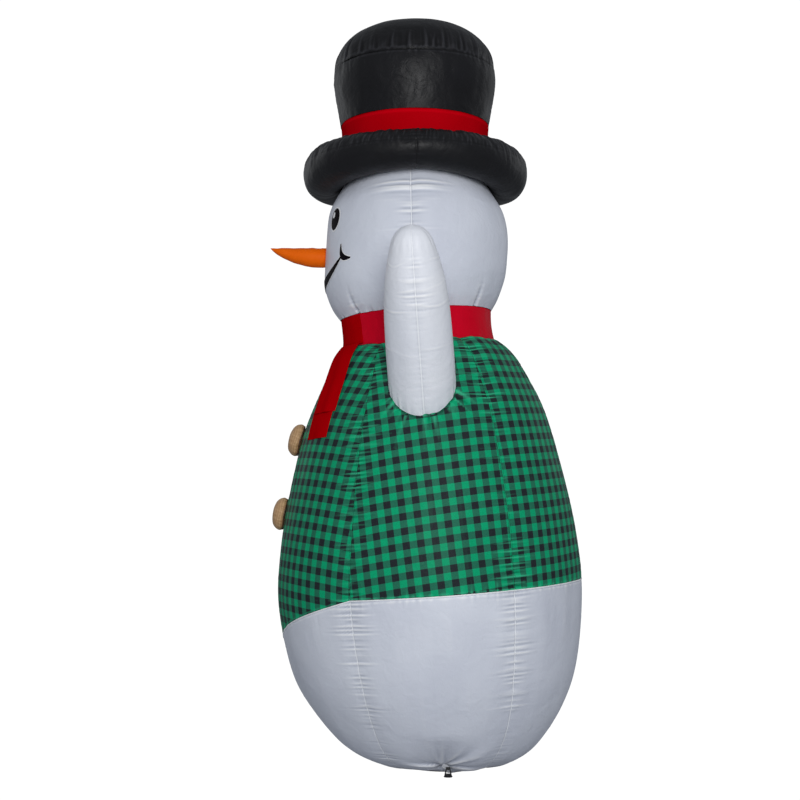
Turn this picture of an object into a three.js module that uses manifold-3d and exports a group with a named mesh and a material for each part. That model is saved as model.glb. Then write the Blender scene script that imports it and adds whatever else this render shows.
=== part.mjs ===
// A 12 ft inflatable yard snowman: an air-filled envelope sewn from cloth panels, with its blower,
// lights, zip and tie-downs. Millimetres, +Z up, face towards -Y, the snowman's left arm towards +X.
// The origin is the centre of the floor panel's underside.
import * as THREE from "three";
import { mergeVertices } from "three/addons/utils/BufferGeometryUtils.js";
import Module from "manifold-3d";

const wasm = await Module();
wasm.setup();
const { degToRad, lerp, smoothstep } = THREE.MathUtils;

// ---- Driving dimensions -------------------------------------------------------------------------
const GORES = 6; // cloth segments round the body, with a seam at the front centre
const CLOTH = 3; // thickness that stands for the cloth
const SEAM = 1; // clear gap between neighbouring panels
const FLOOR_RADIUS = 225;

// Outlines, as [radius, height] from the bottom up.
const BODY = [
  [225, 0], [356, 33], [480, 117], [607, 290], [690, 490], [736, 800], [722, 1060], [673, 1337],
  [591, 1652], [495, 1870], [440, 1970], [380, 2032],
];
const NECK = [[372, 2033], [367, 2105], [370, 2177]];
const HEAD = [
  [373, 2178], [412, 2240], [446, 2340], [452, 2450], [449, 2580], [432, 2700], [396, 2780], [349, 2853],
];
const HAT_BAND = [[362, 2952], [361, 3010], [365, 3080], [369, 3127]];
const CROWN = [[369, 3128], [383, 3210], [398, 3290], [404, 3350], [401, 3404]];
const CROWN_TOP = [
  [401, 3405], [390, 3465], [366, 3513], [334, 3550], [290, 3583], [220, 3613], [120, 3631], [0, 3635],
];
const NECK_BOTTOM = 2032;
const BRIM = { radius: 452, height: 2895.5, halfWidth: 104, halfDepth: 104.5 };
const BRIM_HANG = 26; // how much the brim's underside drops in front and behind, and rises at the sides
const BRIM_HEAD_SEAM = 200; // degrees round the brim's section, from its outermost point
const BRIM_EDGE_SEAM = 15;
const BRIM_BAND_SEAM = 150;

const HEM = 847; // height of the vest's lower edge round the sides and back
const HEM_DIP = 216; // how much lower it is at the front centre
const ARM = { pivot: new THREE.Vector3(458, -112, 1717), elevation: 64, forward: -0.074 };
const ARM_OUTLINE = [
  [152, 0], [154, 200], [150, 420], [140, 560], [122, 665], [88, 780], [50, 828], [0, 845],
];
const ARM_ROOT_OPENING = 55; // degrees that the ball at the root turns past the sleeve's end
const ARM_SWING = [-12, -6, 0, 6, 12]; // positions, in degrees, that the armhole has to clear
const TAIL = { width: 190, top: 2026, longBottom: 1592, shortBottom: 1711 };
const BUTTON = { radius: 80, depth: 64, heights: [1600, 1246] };
const NOSE = { radius: 49, length: 270, top: 2520 };
const BLOWER = { azimuth: 210, height: 285, hole: 137 }; // in the middle of the right back gore
const ZIP = { azimuth: 240, height: 700, length: 230, width: 40 }; // in the seam beside that gore

// ---- How the soft body stands -------------------------------------------------------------------
// The axis moves forward going up, as [shift, height], and the body's rings dip a little in front.
const AXIS = [
  [0, 0], [-28, 70], [-42, 330], [-76, 800], [-90, 1350], [-106, 1870], [-135, 2090], [-148, 2300],
  [-137, 2550], [-145, 2850], [-150, 3700],
];
const PINCH = { depth: 80, halfWidth: 12 }; // how far each tie-down pulls the cloth in, and degrees

const spline = (points) => new THREE.SplineCurve(points.map(([x, z]) => new THREE.Vector2(x, z)));

// Where along a curve that climbs all the way it reaches a height, from 0 to 1.
function reach(curve, height) {
  let low = 0;
  let high = 1;
  for (let i = 0; i < 24; i++) {
    const middle = (low + high) / 2;
    if (curve.getPoint(middle).y < height) low = middle;
    else high = middle;
  }
  return low;
}

const axis = spline(AXIS);
const axisShift = (height) => axis.getPoint(reach(axis, height)).x;
const ringTilt = (z) => 0.066 * smoothstep(z, 0, 600) * (1 - smoothstep(z, 2180, 2800));

const brimHang = (z) => BRIM_HANG * smoothstep(z, 2580, 2800) * (1 - smoothstep(z, 2800, 2985));

function settle(x, y, z) {
  const sideways = (x * x - y * y) / Math.max(x * x + y * y, 1); // 1 at the sides, -1 front and back
  return new THREE.Vector3(x, y + axisShift(z), z + y * ringTilt(z) + sideways * brimHang(z));
}

function pinch(azimuth, height) {
  const away = Math.min(...[90, -90, 270].map((side) => Math.abs(azimuth - degToRad(side))));
  const near = Math.exp(-((away / degToRad(PINCH.halfWidth)) ** 2));
  return PINCH.depth * near * smoothstep(height, 0, 42) * (1 - smoothstep(height, 60, 230));
}

// A point `out` mm outside an outline's [radius, height] point, at an azimuth from the front centre.
function around(point, tangent, azimuth, out) {
  const radius = point.x + tangent.y * out;
  const height = point.y - tangent.x * out;
  return settle(radius * Math.sin(azimuth), -radius * Math.cos(azimuth), height);
}

// The surface that an outline sweeps, as a function of azimuth, height and offset outwards.
function skin(points) {
  const line = spline(points);
  return (azimuth, height, out = 0) => {
    const t = reach(line, height);
    const point = line.getPoint(t);
    point.x -= pinch(azimuth, height);
    return around(point, line.getTangent(t), azimuth, out);
  };
}
const bodySkin = skin(BODY);
const headSkin = skin(HEAD);
const neckSkin = skin(NECK);

// ---- Building blocks ----------------------------------------------------------------------------
const snowman = new THREE.Group();

const finish = (color, roughness, metalness = 0) =>
  new THREE.MeshStandardMaterial({ color, roughness, metalness });
const WHITE = finish(0xd9dce6, 0.55);
const PLAID = finish(0x14794f, 0.55);
const RED = finish(0xb00a18, 0.6);
const BLACK = finish(0x17171a, 0.5);
const INK = finish(0x0b0b10, 0.6);
const ORANGE = finish(0xe66a10, 0.6);
const WOOD = finish(0xb98f63, 0.7);
const PLASTIC = finish(0x101012, 0.45);
const STEEL = finish(0xa9abb0, 0.35, 1);
const WEBBING = finish(0xd5d6dc, 0.8);
const LAMP = finish(0xf2f2ea, 0.2);

function add(name, geometry, material, parent = snowman) {
  const mesh = new THREE.Mesh(geometry, material);
  mesh.name = name;
  parent.add(mesh);
  return mesh;
}

// A slab of cloth bent into place: place(u, v, depth) gives the point, with depth 0 on its outside.
function cloth(place, columns, rows, thickness = CLOTH) {
  const slab = new THREE.BoxGeometry(1, 1, 1, columns, 1, rows);
  const corners = slab.getAttribute("position");
  for (let i = 0; i < corners.count; i++) {
    const p = place(corners.getX(i) + 0.5, corners.getZ(i) + 0.5, (corners.getY(i) + 0.5) * thickness);
    corners.setXYZ(i, p.x, p.y, p.z);
  }
  return slab;
}

// A panel between two azimuths and two stations of a plane curve.
function panel(curve, fromDegrees, toDegrees, columns, rows) {
  const start = degToRad(fromDegrees);
  const end = degToRad(toDegrees);
  const trim = SEAM / 2 / curve.getLength();
  return cloth((u, v, depth) => {
    const t = lerp(trim, 1 - trim, v);
    const point = curve.getPointAt(t);
    const inset = SEAM / 2 / point.x;
    return around(point, curve.getTangentAt(t), lerp(start + inset, end - inset, u), -depth);
  }, columns, rows);
}

function toSolid(geometry) {
  const bare = geometry.clone();
  bare.deleteAttribute("normal");
  bare.deleteAttribute("uv");
  const merged = mergeVertices(bare, 1e-3);
  return new wasm.Manifold(new wasm.Mesh({
    numProp: 3,
    vertProperties: merged.getAttribute("position").array,
    triVerts: new Uint32Array(merged.index.array),
  }));
}

function toGeometry(solid) {
  const mesh = solid.getMesh();
  const geometry = new THREE.BufferGeometry();
  geometry.setAttribute("position", new THREE.BufferAttribute(mesh.vertProperties, 3));
  geometry.setIndex(new THREE.BufferAttribute(mesh.triVerts, 1));
  return geometry;
}

const cut = (geometry, tools) =>
  toGeometry(tools.reduce((solid, tool) => solid.subtract(toSolid(tool)), toSolid(geometry)));
const join = (geometries) =>
  toGeometry(geometries.slice(1).reduce((solid, g) => solid.add(toSolid(g)), toSolid(geometries[0])));

// A turned piece about +Z, from [radius, z] points.
function turned(points, segments) {
  const lathe = new THREE.LatheGeometry(points.map(([r, z]) => new THREE.Vector2(r, z)), segments);
  return lathe.rotateX(Math.PI / 2);
}

const tube = (inner, outer, bottom, top, segments) =>
  turned([[inner, bottom], [outer, bottom], [outer, top], [inner, top], [inner, bottom]], segments);
const rod = (radius, bottom, top, segments = 16) =>
  new THREE.CylinderGeometry(radius, radius, top - bottom, segments)
    .rotateX(Math.PI / 2)
    .translate(0, 0, (bottom + top) / 2);
const block = (width, height, bottom, top) =>
  new THREE.BoxGeometry(width, height, top - bottom).translate(0, 0, (bottom + top) / 2);

// A group that stands on a skin: +Z out of the cloth, +Y up along it.
function standOn(surface, azimuthDegrees, height, out = 0) {
  const azimuth = degToRad(azimuthDegrees);
  const step = 1;
  const up = surface(azimuth, height + step).sub(surface(azimuth, height - step)).normalize();
  const turn = step / surface(azimuth, height).length();
  const across = surface(azimuth + turn, height).sub(surface(azimuth - turn, height)).normalize();
  const outward = new THREE.Vector3().crossVectors(across, up).normalize();
  const right = new THREE.Vector3().crossVectors(up, outward);
  const group = new THREE.Group();
  group.quaternion.setFromRotationMatrix(new THREE.Matrix4().makeBasis(right, up, outward));
  group.position.copy(surface(azimuth, height)).addScaledVector(outward, out);
  group.updateMatrix();
  snowman.add(group);
  return group;
}

// ---- Body: floor panel, white lower gores, plaid vest gores ---------------------------------------
const frontAngle = (azimuth) => Math.abs(Math.atan2(Math.sin(azimuth), Math.cos(azimuth)));
const goreAngle = (2 * Math.PI) / GORES;
// The hem runs level round the sides and back, and slopes down across each front gore.
function hemHeight(azimuth) {
  const t = Math.max(0, 1 - frontAngle(azimuth) / goreAngle);
  return HEM - HEM_DIP * t * (0.8 + 0.2 * t * t);
}

function gore(index, bottomOf, topOf, columns, rows) {
  const start = index * goreAngle;
  return cloth((u, v, depth) => {
    const azimuth = start + u * goreAngle;
    const height = lerp(bottomOf(azimuth) + SEAM / 2, topOf(azimuth) - SEAM / 2, v);
    const inset = SEAM / 2 / Math.hypot(...bodySkin(0, height).toArray().slice(0, 2));
    return bodySkin(lerp(start + inset, start + goreAngle - inset, u), height, -depth);
  }, columns, rows);
}

const armDirection = new THREE.Vector3(
  Math.cos(degToRad(ARM.elevation)), ARM.forward, Math.sin(degToRad(ARM.elevation)),
).normalize();

// An arm's outline grown by `grow`, from its open root to its tip.
function armOutline(grow, rootAngle) {
  const root = [];
  for (let angle = rootAngle; angle > 1; angle -= 15) {
    const radius = ARM_OUTLINE[0][0] + grow;
    root.push([radius * Math.cos(degToRad(angle)), -radius * Math.sin(degToRad(angle))]);
  }
  const line = spline(ARM_OUTLINE);
  const sleeve = [];
  const steps = 8;
  for (let i = 0; i <= steps; i++) {
    const t = i / steps;
    const point = line.getPointAt(t);
    const tangent = line.getTangentAt(t);
    if (i === steps) sleeve.push([0, point.y + grow]);
    else sleeve.push([point.x + tangent.y * grow, point.y - tangent.x * grow]);
  }
  return [...root, ...sleeve];
}

// Points a piece made along +Z up the arm on one side, swung outwards by some degrees.
function alongArm(geometry, side, swing = 0) {
  const aim = new THREE.Quaternion().setFromUnitVectors(new THREE.Vector3(0, 0, 1), armDirection);
  const turn = new THREE.Quaternion().setFromAxisAngle(new THREE.Vector3(0, 1, 0), degToRad(swing));
  geometry.applyQuaternion(aim).applyQuaternion(turn);
  geometry.translate(ARM.pivot.x, ARM.pivot.y, ARM.pivot.z);
  if (side < 0) {
    // Mirroring turns every face round, so each triangle's corners are swapped back.
    geometry.scale(-1, 1, 1);
    const index = geometry.index;
    for (let i = 0; i < index.count; i += 3) {
      const second = index.getX(i + 1);
      index.setX(i + 1, index.getX(i + 2));
      index.setX(i + 2, second);
    }
  }
  return geometry;
}

function addBody() {
  add("floor_panel", rod(FLOOR_RADIUS - SEAM, 0, CLOTH, 36), WHITE);

  const blower = standOn(bodySkin, BLOWER.azimuth, BLOWER.height);
  const blowerHole = rod(BLOWER.hole, -90, 90, 32).applyMatrix4(blower.matrix);
  const zip = standOn(bodySkin, ZIP.azimuth, ZIP.height, -3);
  const zipHole = block(ZIP.width + 2 * SEAM, ZIP.length + 2 * SEAM, -40, 40).applyMatrix4(zip.matrix);
  const armholes = [1, -1].map((side) =>
    ARM_SWING.map((swing) => alongArm(turned([[0, -140], ...armOutline(3, 60)], 20), side, swing)));

  const holes = { 3: [blowerHole, zipHole], 4: [zipHole] };
  const armGores = { 1: armholes[0], 4: armholes[1] };
  for (let i = 0; i < GORES; i++) {
    const lower = gore(i, () => 1, hemHeight, 6, 9);
    add(`lower_gore_${i + 1}`, holes[i] ? cut(lower, holes[i]) : lower, WHITE);
    const vest = gore(i, hemHeight, () => NECK_BOTTOM, 6, 9);
    add(`vest_gore_${i + 1}`, armGores[i] ? cut(vest, armGores[i]) : vest, PLAID);
  }
  return { blower, zip };
}

// ---- Neck, scarf, head, hat -----------------------------------------------------------------------
function addFrontAndBack(name, curve, material, columns, rows) {
  add(`${name}_front`, panel(curve, -90, 90, columns, rows), material);
  add(`${name}_back`, panel(curve, 90, 270, columns, rows), material);
}

function addLeftAndRight(name, curve, material, columns, rows) {
  add(`${name}_left`, panel(curve, 0, 180, columns, rows), material);
  add(`${name}_right`, panel(curve, 180, 360, columns, rows), material);
}

function addHeadAndHat() {
  addFrontAndBack("neck_band", spline(NECK), RED, 12, 2);
  addFrontAndBack("head_panel", spline(HEAD), WHITE, 14, 7);
  const brimArc = (from, to) => new THREE.EllipseCurve(
    BRIM.radius, BRIM.height, BRIM.halfWidth, BRIM.halfDepth, degToRad(from), degToRad(to));
  addFrontAndBack("hat_brim_lower", brimArc(BRIM_HEAD_SEAM, 360 + BRIM_EDGE_SEAM), BLACK, 14, 5);
  addFrontAndBack("hat_brim_upper", brimArc(BRIM_EDGE_SEAM, BRIM_BAND_SEAM), BLACK, 14, 5);
  addLeftAndRight("hat_band", spline(HAT_BAND), RED, 12, 2);
  addLeftAndRight("hat_crown_side", spline(CROWN), BLACK, 12, 4);

  const [edge, seam] = CROWN_TOP[0];
  const scale = (edge - CLOTH) / edge;
  const inside = CROWN_TOP.map(([r, z]) => [r * scale, seam + (z - seam) * scale]);
  const cap = turned([...inside.toReversed(), ...CROWN_TOP], 28).translate(0, axisShift(seam), 0);
  add("hat_crown_top", cap, BLACK);
}

function addScarf() {
  // Both tails share an outer edge near this azimuth, and keep their width as the vest widens.
  const strip = (edgeDegrees, bottom, lift) => cloth((u, v, depth) => {
    const height = lerp(bottom, TAIL.top, v);
    const radius = bodySkin(0, height).distanceTo(new THREE.Vector3(0, axisShift(height), height));
    const azimuth = degToRad(edgeDegrees) - ((1 - u) * TAIL.width) / radius;
    return bodySkin(azimuth, height, lift - depth);
  }, 5, 8);
  add("scarf_tail_long", strip(40.5, TAIL.longBottom, 5), RED);
  add("scarf_tail_short", strip(42.5, TAIL.shortBottom, 13), RED);
  const wrap = cloth((u, v, depth) => neckSkin(
    degToRad(lerp(11, 43.5, u)), lerp(2048, 2174, v), 10 - depth), 4, 2, 6);
  add("scarf_wrap", wrap, RED);
}

// ---- Face, nose, buttons --------------------------------------------------------------------------
const EYE = { azimuth: 27.5, height: 2632, halfWidth: 43, halfHeight: 53 };
const SMILE = { low: 2345, rise: 107, reach: 37, power: 2.3, thick: 30, thin: 12 };
const onFace = (x, z, out) => headSkin(x / 450, z, out);

function addFace() {
  for (const [name, side] of [["eye_left", 1], ["eye_right", -1]]) {
    const disc = new THREE.CylinderGeometry(1, 1, 2, 20).rotateX(Math.PI / 2);
    const corners = disc.getAttribute("position");
    for (let i = 0; i < corners.count; i++) {
      const x = side * degToRad(EYE.azimuth) * 450 + corners.getX(i) * EYE.halfWidth;
      const z = EYE.height + corners.getY(i) * EYE.halfHeight;
      const p = onFace(x, z, 2.5 + corners.getZ(i));
      corners.setXYZ(i, p.x, p.y, p.z);
    }
    add(name, disc, INK);
  }

  const end = degToRad(SMILE.reach) * 450;
  const line = cloth((u, v, depth) => {
    const along = lerp(-1, 1, u);
    const middle = SMILE.low + SMILE.rise * Math.abs(along) ** SMILE.power;
    const width = lerp(SMILE.thick, SMILE.thin, Math.abs(along));
    return onFace(along * end, middle + (v - 0.5) * width, 4 - depth);
  }, 18, 1, 2);
  // A crescent crosses each end of the smile, thickest in its lower half.
  const crease = (side) => cloth((u, v, depth) => {
    const t = side > 0 ? u : 1 - u;
    const width = 5 + 15 * Math.sin(Math.PI * t ** 1.4);
    const x = lerp(-4, 72, t ** 3) + (v - 0.5) * width * 0.5;
    const z = lerp(58, -12, Math.sin((t * Math.PI) / 2)) + (v - 0.5) * width;
    return onFace(side * (end + x), SMILE.low + SMILE.rise + z, 4 - depth);
  }, 8, 1, 2);
  add("mouth", join([line, crease(1), crease(-1)]), INK);
}

// The carrot's radius at a fraction of its length.
const noseRadius = (t) => NOSE.radius * (1 - THREE.MathUtils.clamp(t, 0, 1) ** 2.1) ** 0.8;

function addNoseAndButtons() {
  const steps = 8;
  const outline = [[0, 0]];
  for (let i = 0; i <= steps; i++) outline.push([noseRadius(i / steps), (i / steps) * NOSE.length]);
  const nose = turned(outline, 16).rotateX(Math.PI / 2);
  const corners = nose.getAttribute("position");
  const root = headSkin(0, NOSE.top - NOSE.radius);
  for (let i = 0; i < corners.count; i++) {
    // The top edge is level, so each section hangs its own radius below it.
    const along = -corners.getY(i);
    corners.setY(i, root.y - 4 - along);
    corners.setZ(i, corners.getZ(i) + NOSE.top - noseRadius(along / NOSE.length));
  }
  add("nose", nose, ORANGE);

  BUTTON.heights.forEach((height, i) => {
    const seat = standOn(bodySkin, 0, height, 3);
    const side = new THREE.EllipseCurve(
      0, BUTTON.depth * 0.42, BUTTON.radius, BUTTON.depth * 0.58, -Math.PI / 4, Math.PI / 2);
    const points = side.getPoints(6).map((p) => [Math.max(0, p.x), p.y]);
    points[points.length - 1][0] = 0;
    add(["button_upper", "button_lower"][i], turned([[0, points[0][1]], ...points], 20), WOOD, seat);
  });
}

// ---- Arms -----------------------------------------------------------------------------------------
function addArms() {
  const outside = armOutline(0, ARM_ROOT_OPENING);
  const inside = armOutline(-CLOTH, ARM_ROOT_OPENING);
  for (const [name, side] of [["arm_left", 1], ["arm_right", -1]]) {
    add(name, alongArm(turned([...inside.toReversed(), ...outside], 16), side), WHITE);
  }
}

// ---- Blower ---------------------------------------------------------------------------------------
const FAN = { bezel: 134, duct: 99, screwCircle: 124, slotBands: [[24, 44], [50, 70], [76, 96]] };

// A circle drawn as short arcs, so that it stays round at a low curve resolution.
function circle(path, radius) {
  for (let i = 0; i < 6; i++) path.absarc(0, 0, radius, (i * Math.PI) / 3, ((i + 1) * Math.PI) / 3);
  return path;
}

function grilleShape(screwHole) {
  const shape = circle(new THREE.Shape(), FAN.bezel);
  const sectors = 6;
  const bridge = 6; // width of the ribs between slots
  for (const [inner, outer] of FAN.slotBands) {
    for (let i = 0; i < sectors; i++) {
      const start = (i * 2 * Math.PI) / sectors;
      const end = start + (2 * Math.PI) / sectors;
      const slot = new THREE.Path();
      slot.absarc(0, 0, outer, start + bridge / 2 / outer, end - bridge / 2 / outer, false);
      slot.absarc(0, 0, inner, end - bridge / 2 / inner, start + bridge / 2 / inner, true);
      slot.closePath();
      shape.holes.push(slot);
    }
  }
  for (const [x, y] of screwPlaces()) {
    shape.holes.push(octagon(x, y, screwHole));
  }
  return shape;
}

function octagon(x, y, radius) {
  const hole = new THREE.Path();
  hole.setFromPoints([0, 1, 2, 3, 4, 5, 6, 7].map((i) =>
    new THREE.Vector2(x + radius * Math.cos((i * Math.PI) / 4), y + radius * Math.sin((i * Math.PI) / 4))));
  hole.closePath();
  return hole;
}

const screwPlaces = () => [90, 210, 330].map((degrees) =>
  [Math.cos(degToRad(degrees)) * FAN.screwCircle, Math.sin(degToRad(degrees)) * FAN.screwCircle]);

function addBlower(group) {
  const slab = (shape, bottom, top, curveSegments) =>
    new THREE.ExtrudeGeometry(shape, { depth: top - bottom, bevelEnabled: false, curveSegments })
      .translate(0, 0, bottom);
  add("blower_grille", slab(grilleShape(3.2), 6, 14, 2), PLASTIC, group);

  const ring = circle(new THREE.Shape(), FAN.bezel - 2);
  ring.holes.push(circle(new THREE.Path(), FAN.duct + 4));
  for (const [x, y] of screwPlaces()) ring.holes.push(octagon(x, y, 3.2));
  add("blower_clamp_ring", slab(ring, -6, 5.5, 2), PLASTIC, group);
  screwPlaces().forEach(([x, y], i) => {
    const screw = turned([[0, -5], [2.6, -5], [2.6, 14.4], [6, 14.4], [5, 17.5], [0, 17.5]], 10);
    add(`blower_screw_${i + 1}`, screw.translate(x, y, 0), STEEL, group);
  });

  add("fan_duct", tube(FAN.duct - 4, FAN.duct, -118, 5, 28), PLASTIC, group);
  const spokes = [0, 60, 120].map((degrees) =>
    block(2 * (FAN.duct - 5), 10, -117, -111).rotateZ(degToRad(degrees)));
  add("motor_bracket", join([rod(34, -117, -111, 20), ...spokes]), PLASTIC, group);
  add("fan_motor", rod(29, -110, -62, 20), STEEL, group);
  add("fan_impeller", impeller(), PLASTIC, group);

  const gland = turned([[0, 14.5], [11, 14.5], [11, 20], [8, 23], [5.5, 32], [0, 32]], 14);
  add("cord_gland", gland.translate(0, -115, 0), PLASTIC, group);
}

function impeller() {
  const blades = 7;
  const hub = rod(28, -56, -24, 20);
  const pieces = [hub];
  for (let i = 0; i < blades; i++) {
    const blade = new THREE.BoxGeometry(70, 3, 26, 4, 1, 1);
    const corners = blade.getAttribute("position");
    for (let k = 0; k < corners.count; k++) {
      // The pitch flattens towards the tip.
      const radius = corners.getX(k) + 57;
      const pitch = degToRad(lerp(52, 30, (radius - 22) / 70));
      const [sin, cos] = [Math.sin(pitch), Math.cos(pitch)];
      const [y, z] = [corners.getY(k), corners.getZ(k)];
      corners.setXYZ(k, radius, y * sin + z * cos, z * sin - y * cos - 40);
    }
    pieces.push(blade.rotateZ((i * 2 * Math.PI) / blades));
  }
  return join(pieces);
}

// ---- Zip ------------------------------------------------------------------------------------------
function addZip(group) {
  const half = ZIP.width / 2;
  for (const [name, side] of [["zip_tape_left", 1], ["zip_tape_right", -1]]) {
    const tape = block(half - 0.5, ZIP.length, 0, 2).translate((side * (half + 0.5)) / 2, 0, 0);
    const teeth = block(2.6, ZIP.length - 8, 1, 4).translate(side * 1.8, 0, 0);
    add(name, join([tape, teeth]), BLACK, group);
  }
  const top = ZIP.length / 2 - 18;
  const slider = join([block(13, 20, 5, 9), block(5, 12, 8, 13)]);
  add("zip_slider", slider.translate(0, top, 0), STEEL, group);
  add("zip_pull_tab", block(8, 34, 13.6, 15.6).translate(0, top - 15, 0), STEEL, group);
}

// ---- Tie-downs ------------------------------------------------------------------------------------
const TIE = { x: 338, foot: 20, height: 44 };

function addTieDowns() {
  for (const [word, side] of [["left", 1], ["right", -1]]) {
    // The anchor: a flared foot under an upright eye that a stake or rope goes through.
    const eye = new THREE.Shape();
    eye.moveTo(-17, 8).lineTo(17, 8).lineTo(10, TIE.height).lineTo(-10, TIE.height).closePath();
    const hole = new THREE.Path();
    hole.moveTo(-9, 15).lineTo(9, 15).lineTo(6, 34).lineTo(-6, 34).closePath();
    eye.holes.push(hole);
    const upright = new THREE.ExtrudeGeometry(eye, { depth: 9, bevelEnabled: false })
      .translate(0, 0, -4.5)
      .rotateX(Math.PI / 2)
      .rotateZ(Math.PI / 2);
    const foot = turned([[0, 0], [TIE.foot, 0], [TIE.foot, 4], [TIE.foot - 5, 9], [0, 9]], 16);
    const anchor = join([upright, foot]).translate(side * TIE.x, 0, 0);
    add(`tie_down_anchor_${word}`, anchor, PLASTIC);
    // The webbing tab comes down from the side seam and ends beside the anchor's top bar.
    const from = bodySkin(Math.PI / 2, 56, 8);
    const tab = cloth((u, v, depth) => new THREE.Vector3(
      lerp(TIE.x - 8, from.x, v) - depth, lerp(-12, 12, u), lerp(26, from.z, v)), 1, 2);
    add(`tie_down_tab_${word}`, side > 0 ? tab : tab.rotateZ(Math.PI), WEBBING);
  }
}

// ---- Lights ---------------------------------------------------------------------------------------
const LAMP_HEIGHTS = [620, 1500, 2450];

function addLights(blower) {
  const strap = cloth((u, v, depth) => {
    const height = lerp(8, 3600, v);
    return new THREE.Vector3(lerp(-12, 12, u), axisShift(height) - 1 + depth, height);
  }, 1, 24, 2);
  add("light_strap", strap, WEBBING);

  const onStrap = (height) => new THREE.Vector3(0, axisShift(height) + 14, height);
  // The lead leaves the blower behind its bracket, and joins the strap near the floor.
  const start = new THREE.Vector3(0, -15, -147).applyMatrix4(blower.matrix);
  const inwards = (share, height) => new THREE.Vector3(start.x * share, start.y * share, height);
  const route = new THREE.CatmullRomCurve3([
    start, inwards(0.7, 300), inwards(0.28, 300), inwards(0, 400),
    ...[540, 900, 1300, 1700, 2100, 2450].map(onStrap),
  ]);
  const section = new THREE.Shape().absarc(0, 0, 3, 0, 2 * Math.PI);
  const lead = { steps: 22, extrudePath: route, curveSegments: 4, bevelEnabled: false };
  add("light_lead", new THREE.ExtrudeGeometry(section, lead), PLASTIC);

  LAMP_HEIGHTS.forEach((height, i) => {
    const lamp = turned([[0, 0], [13, 0], [13, 34], [20, 46], [26, 66], [20, 88], [0, 96]], 14);
    add(`lamp_${i + 1}`, lamp.translate(0, axisShift(height) - 34, height), LAMP);
  });
}

const { blower, zip } = addBody();
addHeadAndHat();
addScarf();
addFace();
addNoseAndButtons();
addArms();
addBlower(blower);
addZip(zip);
addTieDowns();
addLights(blower);

export default snowman;
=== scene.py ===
"""The looks of an inflatable yard snowman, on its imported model. Metres, +Z up, face towards -Y."""
import math

import bmesh
import bpy
import numpy as np
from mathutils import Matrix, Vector


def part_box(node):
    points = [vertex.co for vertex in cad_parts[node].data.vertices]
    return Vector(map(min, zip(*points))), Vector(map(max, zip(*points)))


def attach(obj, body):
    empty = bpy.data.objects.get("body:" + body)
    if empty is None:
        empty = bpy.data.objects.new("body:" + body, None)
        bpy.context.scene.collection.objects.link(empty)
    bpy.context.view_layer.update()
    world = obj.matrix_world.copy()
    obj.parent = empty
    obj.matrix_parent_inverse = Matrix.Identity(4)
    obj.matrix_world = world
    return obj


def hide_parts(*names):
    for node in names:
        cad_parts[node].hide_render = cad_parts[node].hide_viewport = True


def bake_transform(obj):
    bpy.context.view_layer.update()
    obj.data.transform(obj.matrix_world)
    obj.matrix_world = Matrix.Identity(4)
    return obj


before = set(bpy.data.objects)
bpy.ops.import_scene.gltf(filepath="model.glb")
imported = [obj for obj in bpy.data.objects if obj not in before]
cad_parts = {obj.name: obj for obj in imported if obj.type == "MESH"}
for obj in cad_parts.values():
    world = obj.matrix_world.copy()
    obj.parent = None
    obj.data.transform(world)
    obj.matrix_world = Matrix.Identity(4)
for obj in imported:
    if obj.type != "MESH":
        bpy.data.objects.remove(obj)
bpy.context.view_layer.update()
scene = bpy.context.scene
scene.view_settings.view_transform = "Standard"

# ---- Camera ---------------------------------------------------------------------------------------
camera = bpy.data.objects.new("camera", bpy.data.cameras.new("camera"))
scene.collection.objects.link(camera)
camera.data.lens = 63
camera.data.sensor_width = 36
camera.location = (6.89, -0.2215, 1.271)
camera.rotation_euler = (math.radians(94.09), 0, math.radians(90))
scene.camera = camera

# ---- The snowman's surfaces -----------------------------------------------------------------------
# Outlines, as (radius, height) from the bottom up, and the axis as (shift, height), in millimetres.
BODY = [
    (225, 0), (356, 33), (480, 117), (607, 290), (690, 490), (736, 800), (722, 1060), (673, 1337),
    (591, 1652), (495, 1870), (440, 1970), (380, 2032),
]
NECK = [(372, 2033), (367, 2105), (370, 2177)]
HEAD = [
    (373, 2178), (412, 2240), (446, 2340), (452, 2450), (449, 2580), (432, 2700), (396, 2780), (349, 2853),
]
HAT_BAND = [(362, 2950), (361, 3010), (365, 3080), (369, 3127)]
CROWN = [(369, 3128), (383, 3210), (398, 3290), (404, 3350), (401, 3404)]
CROWN_TOP = [
    (401, 3405), (390, 3465), (366, 3513), (334, 3550), (290, 3583), (220, 3613), (120, 3631), (0, 3635),
]
AXIS = [
    (0, 0), (-28, 70), (-42, 330), (-76, 800), (-90, 1350), (-106, 1870), (-135, 2090), (-148, 2300),
    (-137, 2550), (-145, 2850), (-150, 3700),
]
FULL = 2 * math.pi
GORES = 6  # cloth segments round the body
GORE = FULL / GORES

# Sizes and places in metres.
RING_DIP = 0.066  # the slope at which the body's rings dip in front
BRIM_HANG = 0.026  # how much the brim's underside drops in front and behind, and rises at the sides
PINCH_DEPTH = 0.08  # how far each tie-down pulls the cloth in
PINCH_WIDTH = math.radians(12)
HEM = 0.847  # height of the vest's lower edge round the sides and back
HEM_DIP = 0.216  # how much lower it is at the front centre
FLOOR_RADIUS = 0.2235
BLOWER_HOLE = 0.112  # radius of the hole in the cloth
BLOWER_RADIUS = 0.136
FACE_RADIUS = 0.45  # of the head where the face is printed
EYE_HEIGHT = 2.632
EYE_AZIMUTH = math.radians(27.5)
MOUTH_AZIMUTH = math.radians(37)
MOUTH_LOW = 2.345
MOUTH_END = 2.443
NOSE_RADIUS = 0.049
NOSE_LENGTH = 0.27
NOSE_TOP = 2.520
BUTTON_RADIUS = 0.080
TAIL_WIDTH = 0.19
TAIL_TOP = 2.030
WEB_WIDTH = 0.024
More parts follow.
